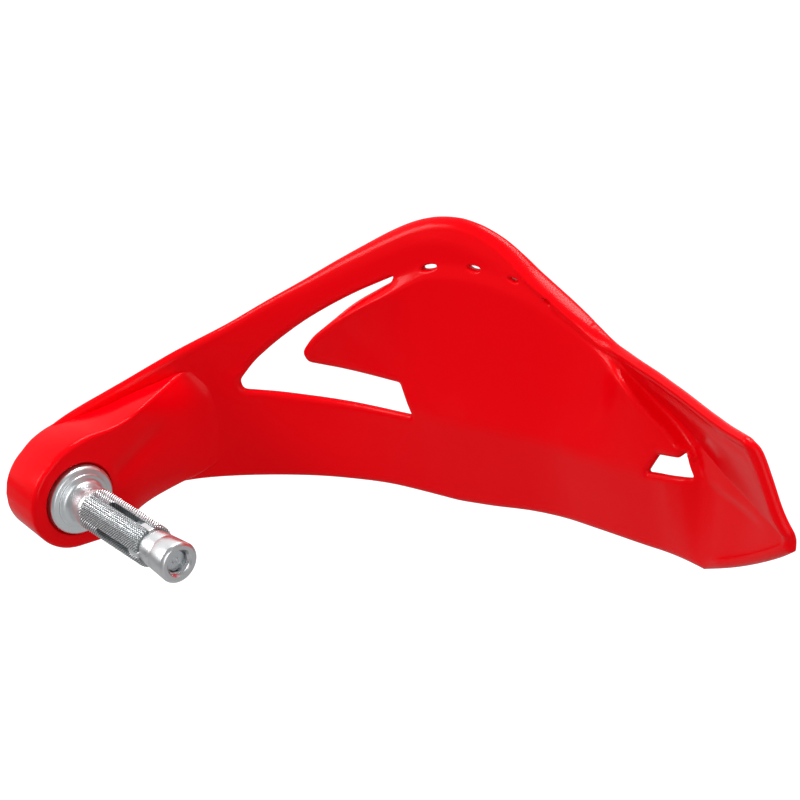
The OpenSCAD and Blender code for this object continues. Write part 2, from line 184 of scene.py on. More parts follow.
def rounded(points, cuts):
    """A closed outline with each corner rounded from that far before it to that far past it."""
    p = np.array(points, float)
    out = []
    for i in range(len(p)):
        a, b, c = p[i - 1], p[i], p[(i + 1) % len(p)]
        before, after = np.linalg.norm(a - b), np.linalg.norm(c - b)
        cut = min(cuts[i], before * 0.45, after * 0.45)
        start, end = b + (a - b) * cut / before, b + (c - b) * cut / after
        out += [(1 - t)**2 * start + 2 * t * (1 - t) * b + t**2 * end for t in np.linspace(0, 1, 7)]
    return np.array(out)


def within(points, loop):
    """Whether each point lies inside the closed loop."""
    inside = np.zeros(len(points), bool)
    x, y = points[:, 0], points[:, 1]
    for (x0, y0), (x1, y1) in zip(loop, np.roll(loop, -1, axis=0)):
        cross = (y0 > y) != (y1 > y)
        at = x0 + (y - y0) * (x1 - x0) / np.where(y1 == y0, 1e-9, y1 - y0)
        inside ^= cross & (x < at)
    return inside


def distance(points, loops):
    """Distance of each point to the nearest loop."""
    best = np.full(len(points), 1e9)
    for loop in loops:
        for a, b in zip(loop, np.roll(loop, -1, axis=0)):
            d = b - a
            t = np.clip(((points - a) @ d) / max(d @ d, 1e-12), 0, 1)
            best = np.minimum(best, np.linalg.norm(points - a - t[:, None] * d, axis=1))
    return best


def signed_area(loop):
    """Twice the loop's area, positive where it runs anticlockwise."""
    return np.sum(loop[:, 0] * np.roll(loop[:, 1], -1) - loop[:, 1] * np.roll(loop[:, 0], -1))


def offset_loop(loop, by):
    """The loop moved to its left by that distance."""
    d = np.roll(loop, -1, axis=0) - np.roll(loop, 1, axis=0)
    d /= np.linalg.norm(d, axis=1, keepdims=True)
    return loop + np.stack([-d[:, 1], d[:, 0]], 1) * by


def plate(outline, holes, grid, rings, creases=()):
    """Fills an outline with holes with triangles. Rings of points follow the edges at the given
    distances, rows of points follow the creases, and an even grid fills the rest. It gives the
    points, the triangles, each point's distance to the edge, and the rim of every loop."""
    loops = [outline] + list(holes)
    points, edges = [], []
    for loop in loops:
        base = len(points)
        points += [tuple(q) for q in loop]
        edges += [(base + i, base + (i + 1) % len(loop)) for i in range(len(loop))]
    extra = []
    for k, loop in enumerate(loops):
        side = 1 if (signed_area(loop) > 0) == (k == 0) else -1
        for r in rings:
            q = offset_loop(loop, r * side)
            # Points that fold back at a corner lie nearer to the edge and are left out.
            extra.append(q[np.abs(distance(q, loops) - r) < 0.12 * r + 0.02])
    crease_points = np.vstack(creases) if creases else np.zeros((0, 2))
    if len(crease_points):
        keep = distance(crease_points, loops) > rings[0] * 1.5
        crease_points = crease_points[keep]
    low, high = outline.min(0), outline.max(0)
    gx = np.arange(low[0], high[0], grid)
    gy = np.arange(low[1], high[1], grid * 0.866)
    body = np.array([(x + (grid / 2 if j % 2 else 0), y) for j, y in enumerate(gy) for x in gx])
    body = body[within(body, outline)]
    body = body[distance(body, loops) > rings[-1] + grid * 0.6]
    if len(crease_points):
        tree = KDTree(len(crease_points))
        for i, q in enumerate(crease_points):
            tree.insert((q[0], q[1], 0), i)
        tree.balance()
        body = np.array([q for q in body if tree.find((q[0], q[1], 0))[2] > grid * 0.55])
        extra = [np.array([q for q in e if tree.find((q[0], q[1], 0))[2] > 0.25]).reshape(-1, 2)
                 for e in extra]
    points = np.vstack([np.array(points), *[e for e in extra if len(e)], crease_points, body])
    verts, _, faces, origins, _, _ = delaunay_2d_cdt(
        [Vector(q) for q in points], edges, [], 0, 1e-5)
    verts = np.array([tuple(v) for v in verts])
    where = {i: n for n, sources in enumerate(origins) for i in sources}
    rims, base = [], 0
    for loop in loops:
        rim = [where[base + i] for i in range(len(loop))]
        if (signed_area(loop) > 0) != (len(rims) == 0):
            rim.reverse()
        rims.append(rim)
        base += len(loop)
    tri = np.array(faces)
    mid = verts[tri].mean(1)
    ok = within(mid, outline)
    for hole in holes:
        ok &= ~within(mid, hole)
    tri = tri[ok]
    return verts, tri, distance(verts, loops), rims


def make(name, verts, faces, smooth=True):
    """A piece from points, in metres from the boss's inboard face, and faces."""
    mesh = bpy.data.meshes.new(name)
    mesh.from_pydata([tuple(map(float, v)) for v in np.asarray(verts) + FACE], [],
                     [tuple(map(int, f)) for f in faces])
    mesh.validate()
    mesh.update()
    if smooth:
        mesh.shade_smooth()
    obj = bpy.data.objects.new(name, mesh)
    bpy.context.scene.collection.objects.link(obj)
    return obj


def close_plate(name, flat, inner, outer, walls=()):
    """A closed solid from a flat net and its two faces. Rim points where the faces meet are
    shared, and elsewhere a wall joins them, by way of the points that walls gives for a loop."""
    verts, tri, gap, loops = flat
    n = len(verts)
    met = (gap < 1e-6) & (np.linalg.norm(inner - outer, axis=1) < 1e-7)
    back = np.where(met, np.arange(n), n + np.arange(n))
    faces = [tuple(t) for t in tri] + [tuple(back[t[::-1]]) for t in tri]
    points = [inner, outer]
    count = 2 * n
    for k, loop in enumerate(loops):
        rows = [np.array(loop)]
        for row in (walls[k] if k < len(walls) else ()):
            points.append(row)
            rows.append(count + np.arange(len(loop)))
            count += len(loop)
        rows.append(back[loop])
        if len(rows) == 2 and met[loop].all():
            continue
        after = np.roll(np.arange(len(loop)), -1)
        for a, b in zip(rows[:-1], rows[1:]):
            for i, j in enumerate(after):
                q = [a[i], b[i], b[j], a[j]] if k == 0 else [a[j], b[j], b[i], a[i]]
                q = [v for m, v in enumerate(q) if v != q[m - 1]]
                if len(q) > 2:
                    faces.append(tuple(q))
    points = np.vstack(points)
    used = np.unique(np.concatenate([np.array(f) for f in faces]))
    remap = -np.ones(count, int)
    remap[used] = np.arange(len(used))
    return make(name, points[used], [tuple(remap[list(f)]) for f in faces])


def soft_max(a, b, k):
    """The greater of two values, blended over about k where they cross."""
    return k * np.logaddexp(a / k, b / k)


def step(a, b, x):
    """0 before a and 1 past b, with a smooth change between."""
    u = np.clip((x - a) / (b - a), 0, 1)
    return u * u * (3 - 2 * u)


def round_over(gap, reach):
    """Share of the full half thickness at a distance from the edge, for a rounded rim."""
    u = np.clip(1 - gap / reach, 0, 1)
    return np.sqrt(np.clip(1 - u * u, 0, 1))


# The skin: a moulded plate with rounded rims, a large vent, a window and small ledge vents.
VENT = [(117.6, 71.1), (104.5, 63.4), (95, 57), (85.5, 50), (76.4, 41.8), (69.3, 34.4),
        (64.6, 27.5), (65.6, 24.4), (92, 24.8), (126.6, 27.3), (122, 37.3), (94.5, 37.1),
        (88.2, 37.3), (86.6, 40.8), (90.4, 46.8), (97, 53), (104.5, 60.3), (117, 69.2)]
VENT_ROUND = [0.6, 6, 6, 6, 6, 6, 3, 3, 8, 0.8, 0.8, 6, 2.5, 3.5, 4, 6, 6, 0.6]
WINDOW = [(226, 45.5), (234.2, 47.4), (236, 49.7), (237.4, 48.4), (239.8, 43.3), (222, 38.8)]
WINDOW_ROUND = [0.7] * len(WINDOW)
# The ledge vents: distance along the skin, height, length and width.
SLITS = [(130.8, 77, 5.2, 1.5), (146.7, 80, 4.4, 1.2), (161, 79.6, 3, 0.7), (173.4, 76, 2.4, 0.6)]
# The skin starts inside the boss.
SKIN_START = -2
# How far in from the edge the rims are rounded, and how soft the folds of the two faces are.
RIM_ROUND, SLIT_ROUND = 2.3, 0.5
INNER_FOLD, INNER_FOLD_MORE, OUTER_FOLD = 0.45, 1.4, 2.5
# Where along the skin the inner folds go from crisp to soft and back.
FOLD_SOFTENS, FOLD_SHARPENS = (108, 128), (210, 200)
# The bead along the rim: its height, what it gains past the peak and where, how far in from the
# edge it is full and where it ends, and where along the skin the upper and lower ones begin.
BEAD, BEAD_MORE, BEAD_GAIN = 0.25, 0.3, (150, 172)
BEAD_FULL, BEAD_WIDTH, BEAD_ABOVE, BEAD_BELOW = 2.6, 3.8, (95, 130), (246, 254)
# The net's grid, the rings of points by the edges, and the rows of points by the ledge.
GRID = 1.5
RINGS = [0.12, 0.45, 1.0, 1.7, 2.4, 3.1, BEAD_WIDTH]
LEDGE_ROWS = [k * 0.7 for k in (-1.2, -0.6, 0, 0.6, 1.2)]


def skin_outline():
    """The skin's outline: the lower edge, the heel, the shoulder and the upper edge."""
    heel_start, tip, shoulder_start = HEEL[0][0], HEEL[-1][0], SHOULDER[0][0]
    s = np.concatenate([np.arange(SKIN_START, heel_start, 1.2), [heel_start]])
    low = np.stack([s, bottom_at(s)], 1)
    s = np.linspace(heel_start, tip, 40)[1:]
    heel = np.stack([s, line(HEEL, s)], 1)
    s = np.linspace(tip, shoulder_start, 20)
    shoulder = np.stack([s, line(SHOULDER, s)], 1)
    s = np.arange(shoulder_start, SKIN_START, -1.2)[1:]
    top = np.stack([s, line(TOP, s)], 1)
    return resample(np.vstack([low, heel, shoulder, top]), 1.1)


outline = skin_outline()
holes = [resample(rounded(VENT, VENT_ROUND), 0.9), resample(rounded(WINDOW, WINDOW_ROUND), 0.7)]
for s0, z0, length, height in SLITS:
    a = np.linspace(0, 2 * math.pi, 20, endpoint=False)
    slope = float(line(LEDGE, s0 + 2) - line(LEDGE, s0 - 2)) / 4
    holes.append(np.stack([s0 + length / 2 * np.cos(a),
                           z0 + height / 2 * np.sin(a) + slope * length / 2 * np.cos(a)], 1))
# The rows of points by the ledge run to the tip, and those by the panel's foot and edge end
# at the wing.
creases = []
along_ledge, along_foot, along_edge = (np.arange(a, b, 1.0) for a, b in
                                       ((100, 286), (100, 245), (206, 245)))
for row in LEDGE_ROWS:
    creases.append(np.stack([along_ledge, line(LEDGE, along_ledge) + row], 1))
    creases.append(np.stack([along_foot, line(PANEL_EDGE, along_foot)
                             - line(LEDGE_DROP, along_foot) + row], 1))
for row in (-0.3, 0.3):
    creases.append(np.stack([along_edge, line(PANEL_EDGE, along_edge) + row], 1))
flat = plate(outline, holes, GRID, RINGS, creases)
net = flat[0]
s, z = net[:, 0], net[:, 1]
# The folds are crisp by the vent and in the wing, and softer over the panel.
inner_depth = soft_depth(s, z, INNER_FOLD + INNER_FOLD_MORE * step(*FOLD_SOFTENS, s)
                         * step(*FOLD_SHARPENS, s))
lean = soft_depth(s, z + 0.5, OUTER_FOLD) - soft_depth(s, z - 0.5, OUTER_FOLD)
outer_depth = soft_depth(s, z, OUTER_FOLD) - WALL * np.sqrt(1 + lean**2)
middle = (inner_depth + outer_depth) / 2
share = np.minimum(round_over(distance(net, [outline, holes[0], holes[1]]), RIM_ROUND),
                   round_over(distance(net, holes[2:]), SLIT_ROUND))
# A low bead runs along the rim from the peak to the tip and back under the wing.
rim_gap = distance(net, [outline])
bead = np.where(z > line(RIDGE, s) + 5, step(*BEAD_ABOVE, s), step(*BEAD_BELOW, s))
bead_height = BEAD + BEAD_MORE * step(*BEAD_GAIN, s)
inner_depth = inner_depth + bead_height * bead * step(BEAD_WIDTH, BEAD_FULL, rim_gap)
skin = close_plate("guard_moulding", flat, place(s, z, middle + (inner_depth - middle) * share),
                   place(s, z, middle + (outer_depth - middle) * share))

# The boss and the thick arm behind it, one moulding with the skin.
BOSS_R, BOSS_BACK, BOSS_DRAFT, SEAT_R, SEAT_DEPTH = 17.25, -19, 0.75, 12.3, 1.6
HEAD_HOLE_R, HEAD_HOLE_EDGE, BUSH_R, BUSH_X = 8.5, 0.5, 6.5, -8.8
# From the skin's plan line to the boss's inboard face.
BOSS_DEPTH = 15.5
# The hole through the boss, from the flange's seat to the recess for the bolt's head: (radius, x).
BOSS_HOLE = [(SEAT_R, -SEAT_DEPTH), (BUSH_R, -SEAT_DEPTH), (BUSH_R, BUSH_X),
             (HEAD_HOLE_R, BUSH_X), (HEAD_HOLE_R, BOSS_BACK + HEAD_HOLE_EDGE),
             (HEAD_HOLE_R + HEAD_HOLE_EDGE, BOSS_BACK)]
LEAF = [(-17, 6), (-10.15, 13.95), (-8, 15.8), (-5.8, 17.3), (0, 19.6), (5.8, 20.7),
        (12, 20.9), (20, 22.1), (28.5, 24.6), (37.5, 27.6), (46.7, 30.6), (56, 31.2), (66, 31)]
UNDER = [(-17, -4), (-10.15, -13), (-4.4, -16.5), (0, -17.25), (6.4, -17.3), (14.5, -15.8),
         (26, -12.4), (43, -8.3), (49, -6.4), (54, -4), (58, -1), (62, 5), (66, 14)]
# The arm's face leaves the boss's plane along one line and meets the skin along another. Each
# is a list of (height, distance along the skin).
BEND = [(-18, 14), (-10, 21), (-4, 28), (3, 34), (9, 38), (15, 37), (22, 31), (27.7, 26), (31, 24)]
SEAM = [(-18, 38), (-12, 45), (-9.5, 48.5), (-7.3, 51.9), (-2.4, 57.7), (5, 62), (15, 60),
        (25, 52), (29.5, 46.7), (31, 45)]
# How far the arm's face ends below the skin's.
SUNK, SUNK_MORE = 0.1, 0.3
# A shallow flute runs up the arm's face from the flange's seat to the bend.
FLUTE, FLUTE_HALF, FLUTE_DEPTH = [(12.5, 3.2), (35, 13)], 3.3, 0.85
# The arm's outboard face: its depth at the boss, and what it gains towards the skin.
UNDER_DEPTH, UNDER_GAIN = -3.5, 1.9
# How round the edges are: at the boss, what that loses along the arm, and at the flange's seat.
EDGE_ROUND, EDGE_LESS, SEAT_ROUND = 1.7, 0.7, 0.3
ARM_GRID, ARM_RINGS = 1.4, [0.08, 0.3, 0.7, 1.2, 1.8]


def arm_outline():
    """The arm's outline: round at the boss, then along the leaf above and the edge below."""
    s = np.linspace(-BOSS_R, 0, 40)[:-1]
    left = -np.sqrt(BOSS_R**2 - s**2)
    low = np.stack([s, np.where(s < -10, left, np.minimum(left, line(UNDER, s)))], 1)
    s2 = np.arange(0, 65, 1.0)
    under = np.stack([s2, line(UNDER, s2)], 1)
    leaf = np.stack([s2, line(LEAF, s2)], 1)[::-1]
    high = np.stack([s, np.where(s < -10, -left, np.maximum(-left, line(LEAF, s)))], 1)[::-1]
    return resample(np.vstack([low, under, leaf, high[:-1]]), 0.9)


def level(s):
    """How far the arm has turned from the boss's square frame to the skin's own."""
    return step(10, 26, s)


def arm_place(s, z, depth):
    """As place, but level and square at the boss, so that its circles stay round."""
    straight = np.stack([-BOSS_DEPTH + depth, s, z], -1) * MM
    t = level(s)[..., None]
    return straight * (1 - t) + place(s, z, depth) * t


def flush(s):
    """The depth at which the arm's face lies in the boss's inboard plane."""
    t = level(s)
    return ((1 - t) * BOSS_DEPTH - t * plan(s)[..., 0]) / ((1 - t) + t * inward(s)[..., 0])


turn = np.linspace(0, 2 * math.pi, 96, endpoint=False)
circle = np.stack([np.cos(turn), np.sin(turn)], 1)
arm = plate(arm_outline(), [circle * SEAT_R], ARM_GRID, ARM_RINGS)
net, _, gap, rims = arm
s, z = net[:, 0], net[:, 1]
bend, seam = line(BEND, z), line(SEAM, z)
fall = flush(bend) * (1 - (s - bend) / (seam - bend))
# Both folds are blended: the bend over a tight radius, the seam over a wider one.
bend_soft = 0.35 + 0.5 * step(12, 24, s)
seam_soft = 2 - 1.1 * step(12, 28, z)
depth = np.where(s < 8, BOSS_DEPTH, -soft_max(-flush(s), -fall, bend_soft))
depth = np.where(s > 30, soft_max(depth, -SUNK * step(44, 56, s), seam_soft)
                 - SUNK_MORE * step(40, 60, s), depth)
(s0, z0), (s1, z1) = FLUTE
across = ((z - z0) * (s1 - s0) - (s - s0) * (z1 - z0)) / math.hypot(s1 - s0, z1 - z0)
along = step(8, 13, s) * step(13.5, 17, np.hypot(s, z)) * step(42, 32, s)
depth = depth - FLUTE_DEPTH * np.exp(-(across / FLUTE_HALF)**2) * along
under_depth = UNDER_DEPTH + UNDER_GAIN * step(14, 32, s)
seat_gap = np.abs(np.hypot(s, z) - SEAT_R)
fillet = np.minimum(np.where(seat_gap < 2, SEAT_ROUND, EDGE_ROUND - EDGE_LESS * step(0, 18, s)),
                    (depth - under_depth) * 0.45)
drop = fillet * (1 - round_over(gap, fillet))
draft = 1 - BOSS_DRAFT / BOSS_R * step(14, 2, s)
in_face = arm_place(s, z, depth - drop)
out_face = arm_place(s * draft, z * draft, under_depth + drop)
seat = net[rims[1]] / SEAT_R
hole_rows = [np.column_stack([np.full(len(seat), x), seat * radius]) * MM
             for radius, x in BOSS_HOLE]
boss = close_plate("guard_arm", arm, in_face, out_face, [(), hole_rows])


def hex_colour(code):
    """An sRGB hex colour in linear light."""
    c = [int(code[i:i + 2], 16) / 255 for i in (0, 2, 4)]
    return [x / 12.92 if x <= 0.04045 else ((x + 0.055) / 1.055) ** 2.4 for x in c] + [1.0]


def add_node(tree, kind, inputs=(), **settings):
    """Adds a node, sets its settings, and fills its inputs with values or links."""
    node = tree.nodes.new(kind)
    for key, value in settings.items():
        setattr(node, key, value)
    for key, value in dict(inputs).items():
        if isinstance(value, bpy.types.NodeSocket):
            tree.links.new(value, node.inputs[key])
        else:
            node.inputs[key].default_value = value
    return node


def finish_of(name, colour, **sockets):
    """A material for one real finish, with its plain values on the shader's own sockets."""
    made = bpy.data.materials.new(name)
    made.use_nodes = True
    shader = made.node_tree.nodes["Principled BSDF"]
    shader.inputs["Base Color"].default_value = hex_colour(colour)
    for key, value in sockets.items():
        shader.inputs[key.replace("_", " ")].default_value = value
    return made, made.node_tree, shader


# Glossy red nylon from a polished mould: even, saturated colour under soft highlights. Its
# moulded skin waves faintly, with a fine orange peel on top. Both sizes are in millimetres.
WAVE, PEEL, PEEL_SHARE = 12, 0.9, 0.02
red, tree, shader = finish_of("moulded_red_nylon", "E2000A", Roughness=0.2,
                              Specular_IOR_Level=0.08)
coords = add_node(tree, "ShaderNodeTexCoord")
wave = add_node(tree, "ShaderNodeTexNoise",
                {"Vector": coords.outputs["Object"], "Scale": 1 / (WAVE * MM), "Detail": 1.0})
peel = add_node(tree, "ShaderNodeTexNoise",
                {"Vector": coords.outputs["Object"], "Scale": 1 / (PEEL * MM), "Detail": 2.0})
both = add_node(tree, "ShaderNodeMath",
                {0: peel.outputs["Fac"], 1: PEEL_SHARE, 2: wave.outputs["Fac"]},
                operation="MULTIPLY_ADD")
bump = add_node(tree, "ShaderNodeBump",
                {"Height": both.outputs[0], "Strength": 0.05, "Distance": 0.4 * MM})
tree.links.new(bump.outputs["Normal"], shader.inputs["Normal"])


# A wave texture of scale 1 repeats after 0.314 m. The roughness changes over about 4 mm.
WAVE_UNIT, CLOUD = 0.314, 4


def turned(name, colour, rough, pitch, depth):
    """A metal turned on a lathe: rings round the bar's axis at the tool's pitch, in millimetres,
    and a slow change of roughness along them."""
    made, tree, shader = finish_of(name, colour, Metallic=1.0)
    spot = add_node(tree, "ShaderNodeTexCoord")
    rings = add_node(tree, "ShaderNodeTexWave",
                     {"Vector": spot.outputs["Object"], "Distortion": 0.6,
                      "Scale": WAVE_UNIT / (pitch * MM), "Detail": 2.0}, bands_direction="X")
    cloud = add_node(tree, "ShaderNodeTexNoise",
                     {"Vector": spot.outputs["Object"], "Detail": 3.0,
                      "Scale": 1 / (CLOUD * MM)})
    gloss = add_node(tree, "ShaderNodeMapRange",
                     {"Value": cloud.outputs["Fac"], "From Min": 0.3, "From Max": 0.7,
                      "To Min": rough * 0.8, "To Max": rough * 1.25})
    tree.links.new(gloss.outputs["Result"], shader.inputs["Roughness"])
    relief = add_node(tree, "ShaderNodeBump",
                      {"Height": rings.outputs["Fac"], "Strength": 0.35, "Distance": depth * MM})
    tree.links.new(relief.outputs["Normal"], shader.inputs["Normal"])
    return made, tree, shader


# Bright zinc plate on turned steel: bluish white, sharp reflections, fine rings. The tool's marks
# are drawn at 0.5 mm because the real 0.1 mm would not show.
zinc = turned("zinc_plated_steel", "DCE1E4", 0.25, 0.5, 0.004)[0]
# The same plate on the knurl, duller, with painted shade: its colour is darkened in the grooves
# between the diamonds. The mesh says how deep each point lies in a groove, which sets that shade.
knurl_zinc, tree, shader = turned("zinc_plated_knurl", "E4E8EA", 0.34, 0.5, 0.002)
groove_shade = add_node(tree, "ShaderNodeAttribute", attribute_name="groove_shade")
shaded_colour = add_node(tree, "ShaderNodeMix",
                {0: groove_shade.outputs["Fac"], 6: hex_colour("E2E6E8"), 7: hex_colour("54585A")},
                data_type="RGBA")
tree.links.new(shaded_colour.outputs[2], shader.inputs["Base Color"])
# Turned aluminium: a satin tool finish, without the plate's blue.
aluminium = turned("turned_aluminium", "DFE0E2", 0.3, 0.6, 0.004)[0]
# Plain turned steel of the bush: grey and duller.
steel = turned("turned_steel", "A9A9A6", 0.35, 0.5, 0.004)[0]

for piece in (skin, boss):
    piece.data.materials.append(red)
    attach(piece, "guard")
    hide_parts("guard_shell")

# The expander sleeve: flange, neck and a diamond knurl, slotted four times. The slots lie at
# these turns about the bar's axis, in degrees.
SLEEVE_R, SLEEVE_END, NECK_R, FLANGE_R, FLANGE_X = 7.0, 42.0, 6.6, 11.5, 2.0
THROAT_R, THROAT_X, KNURL_X = 4.2, 32.0, 9.0
SLOT_X, SLOT_HALF = 20.0, 1.1
SLOT_TURNS = [98, 188, 278, 368]
KNURL_ROWS, KNURL_PITCH, KNURL_DEPTH = 42, 1.05, 0.34
# The profile of the flange with its raised hub, and the fillet from there to the neck: (x, radius).
FLANGE_PROFILE = [(-SEAT_DEPTH, THROAT_R), (-SEAT_DEPTH, 11.1), (-1.45, 11.4), (-1.2, FLANGE_R),
                  (0.9, FLANGE_R), (1.2, 11.42), (1.9, 10.72), (FLANGE_X, 10.5), (FLANGE_X, 9.4),
                  (2.1, 9.2), (2.5, 9.1), (2.6, 8.9)]
NECK_FILLET, FILLET_X = 1.6, FLANGE_X + 0.6
# The bore's colour is darkened by painted shade as the grooves are, by this share.
BORE_SHADE = 0.6
# Points round each slot and round the wall up to the next one.
SLOT_POINTS, WALL_POINTS = 8, 60
# The wedge nut widens towards its end, where a plain land of 1 mm follows.
TAPER = math.tan(math.radians(4.5))
WEDGE_R, WEDGE_END, WEDGE_START, WEDGE_LAND, WEDGE_GAP = 6.7, 56.0, 33.0, 1, 0.05


def wedge_radius(x):
    """Radius of the wedge nut's cone."""
    return WEDGE_R - (WEDGE_END - WEDGE_LAND - x) * TAPER


def ring_points(x, radius, turns):
    """A ring of points about the bar's axis."""
    return np.column_stack([np.full(len(turns), x), radius * np.cos(turns), radius * np.sin(turns)])


def sleeve_mesh():
    """The sleeve's points and faces, and how much painted shade each point gets: its depth in the
    knurl, or a fixed share in the bore.
    """
    half = math.degrees(math.asin(SLOT_HALF / SLEEVE_R))
    turns, off_slot = [], []
    for c in SLOT_TURNS:
        slot_turns = np.linspace(c - half, c + half, SLOT_POINTS, endpoint=False)
        turns += [slot_turns,
                  np.linspace(c + half, c + 90 - half, WALL_POINTS, endpoint=False)]
        off_slot += [np.abs(slot_turns - c), np.full(WALL_POINTS, 90.0)]
    turns, off_slot = np.concatenate(turns), np.concatenate(off_slot)
    in_slot = off_slot < 90
    fillet = [(FILLET_X + NECK_FILLET * (1 - math.sin(a)), NECK_R + NECK_FILLET * (1 - math.cos(a)))
              for a in np.linspace(math.pi / 2, 0, 9)]
    head = FLANGE_PROFILE + fillet
    neck = [(x, NECK_R) for x in np.linspace(4.6, KNURL_X - 0.8, 6)]
    body = [(x, SLEEVE_R) for x in np.arange(KNURL_X, SLEEVE_END - 0.3, KNURL_PITCH / 6)]
    rows = head + neck + body + [(SLEEVE_END - 0.2, SLEEVE_R - 0.15), (SLEEVE_END, SLEEVE_R - 0.4)]
    # Up to this row the sleeve is one solid round, and past it a wall with an inner face.
    start = len(head) + len(neck)
    a = np.radians(turns)
    points, groove_depth_and_shade = [], []
    for x, r in rows:
        here = np.full(len(a), r)
        groove_depth_and_shade.append(np.zeros(len(a)))
        if x >= KNURL_X:
            lines_a = np.abs(2 * ((KNURL_ROWS * a / (2 * np.pi) + x / KNURL_PITCH) % 1) - 1)
            lines_b = np.abs(2 * ((KNURL_ROWS * a / (2 * np.pi) - x / KNURL_PITCH) % 1) - 1)
            cut = np.clip((np.maximum(lines_a, lines_b) - 0.25) / 0.75, 0, 1)
            # The groove's depth shapes the knurl and also sets how much painted shade darkens its
            # colour.
            groove_depth_and_shade[-1] = cut * step(KNURL_X, KNURL_X + 2.5, x)
            here = here - KNURL_DEPTH * groove_depth_and_shade[-1]
        points.append(ring_points(x, here, a))
    for x, r in rows[start:]:
        inside = THROAT_R
        if x >= THROAT_X:
            inside = max(wedge_radius(max(x, WEDGE_START)) + WEDGE_GAP, THROAT_R)
        points.append(ring_points(x, inside, a))
        # The bore's rows get a fixed share of painted shade.
        groove_depth_and_shade.append(np.full(len(a), BORE_SHADE))
    n, total = len(a), len(rows)
    # The slots end in a half round.
    reach = np.minimum(np.radians(off_slot) * SLEEVE_R, SLOT_HALF)
    root = SLOT_X + SLOT_HALF - np.sqrt(np.clip(SLOT_HALF**2 - reach**2, 0, None))

    def outer(v, i):
        return v * n + i % n

    def inner(v, i):
        return (total + v - start) * n + i % n

    def solid(v, i):
        """Whether there is metal between row v and the next, and point i and the next."""
        if v < start:
            return True
        if v >= total - 1:
            return False
        x = (rows[v][0] + rows[v + 1][0]) / 2
        return not in_slot[i % n] or x < root[i % n]

    faces = []
    for v in range(total - 1):
        for i in range(n):
            if not solid(v, i):
                continue
            faces.append((outer(v, i), outer(v, i + 1), outer(v + 1, i + 1), outer(v + 1, i)))
            if v < start:
                continue
            faces.append((inner(v, i), inner(v + 1, i), inner(v + 1, i + 1), inner(v, i + 1)))
            if not solid(v, i - 1):
                faces.append((outer(v, i), outer(v + 1, i), inner(v + 1, i), inner(v, i)))
            if not solid(v, i + 1):
                faces.append((outer(v, i + 1), inner(v, i + 1),
                              inner(v + 1, i + 1), outer(v + 1, i + 1)))
            if not solid(v + 1, i):
                faces.append((outer(v + 1, i), outer(v + 1, i + 1),
                              inner(v + 1, i + 1), inner(v + 1, i)))
    faces += [(outer(0, i), inner(start, i), inner(start, i + 1), outer(0, i + 1))
              for i in range(n)]
    return np.vstack(points) * MM, faces, np.concatenate(groove_depth_and_shade)


def crisp(obj, degrees):
    """Keeps edges sharper than that angle crisp under smooth shading."""
    obj.data.set_sharp_from_angle(angle=math.radians(degrees))


*sleeve_form, painted_shades = sleeve_mesh()
sleeve = make("knurled_sleeve", *sleeve_form)
# This attribute darkens the knurl's colour with painted shade in the grooves and the bore.
sleeve.data.attributes.new("groove_shade", "FLOAT", "POINT").data.foreach_set("value", painted_shades)
crisp(sleeve, 32)
sleeve.data.materials.append(knurl_zinc)
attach(sleeve, "expander")
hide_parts("expander_sleeve")


def lathe(name, rows, sides, shift):
    """A solid turned about the bar's axis from a closed profile of (x, radius), with each row's
    radius changed by what shift gives for it."""
    a = np.linspace(0, 2 * np.pi, sides, endpoint=False)
    points = [ring_points(x, np.full(sides, r) + shift(k, a, x), a)
              for k, (x, r) in enumerate(rows)]
    n = len(rows)
    faces = [(k * sides + i, k * sides + (i + 1) % sides, (k + 1) % n * sides + (i + 1) % sides,
              (k + 1) % n * sides + i) for k in range(n) for i in range(sides)]
    return make(name, np.vstack(points) * MM, faces)


# The wedge nut's bore is threaded down to the draw bolt's tip. A fine line runs round its cone.
THREAD_PITCH, THREAD_DEPTH, BORE_R, TIP_X, THREAD_ROWS = 1.25, 0.4, 4.05, 53.5, 24
CONE_LINE = [(47.9, 0), (48.0, 0.04), (48.15, 0.04), (48.25, 0)]
thread_x = np.linspace(WEDGE_END - 0.5, TIP_X + 0.15, THREAD_ROWS)
wedge_rows = [(WEDGE_START, BORE_R), (WEDGE_START, wedge_radius(WEDGE_START)),
              (SLEEVE_END + 0.6, wedge_radius(SLEEVE_END + 0.6))]
wedge_rows += [(x, wedge_radius(x) - cut) for x, cut in CONE_LINE]
wedge_rows += [(WEDGE_END - WEDGE_LAND, WEDGE_R), (WEDGE_END - 0.75, WEDGE_R - 0.08),
               (WEDGE_END - 0.15, WEDGE_R - 0.7), (WEDGE_END, WEDGE_R - 0.95),
               (WEDGE_END, BORE_R + 0.45)]
first_thread = len(wedge_rows)
wedge_rows += [(x, BORE_R) for x in thread_x] + [(TIP_X, BORE_R)]


def thread(k, a, x):
    """How far the bore's wall stands in at row k, for the thread's ridge."""
    if not first_thread <= k < first_thread + THREAD_ROWS:
        return 0
    ridge = 1 - np.abs(2 * ((x / THREAD_PITCH - a / (2 * np.pi)) % 1) - 1)
    return -THREAD_DEPTH * np.clip(ridge * 1.4 - 0.2, 0, 1) * step(thread_x[0], thread_x[3], x)


wedge = lathe("wedge_nut_turned", wedge_rows, 120, thread)
crisp(wedge, 30)
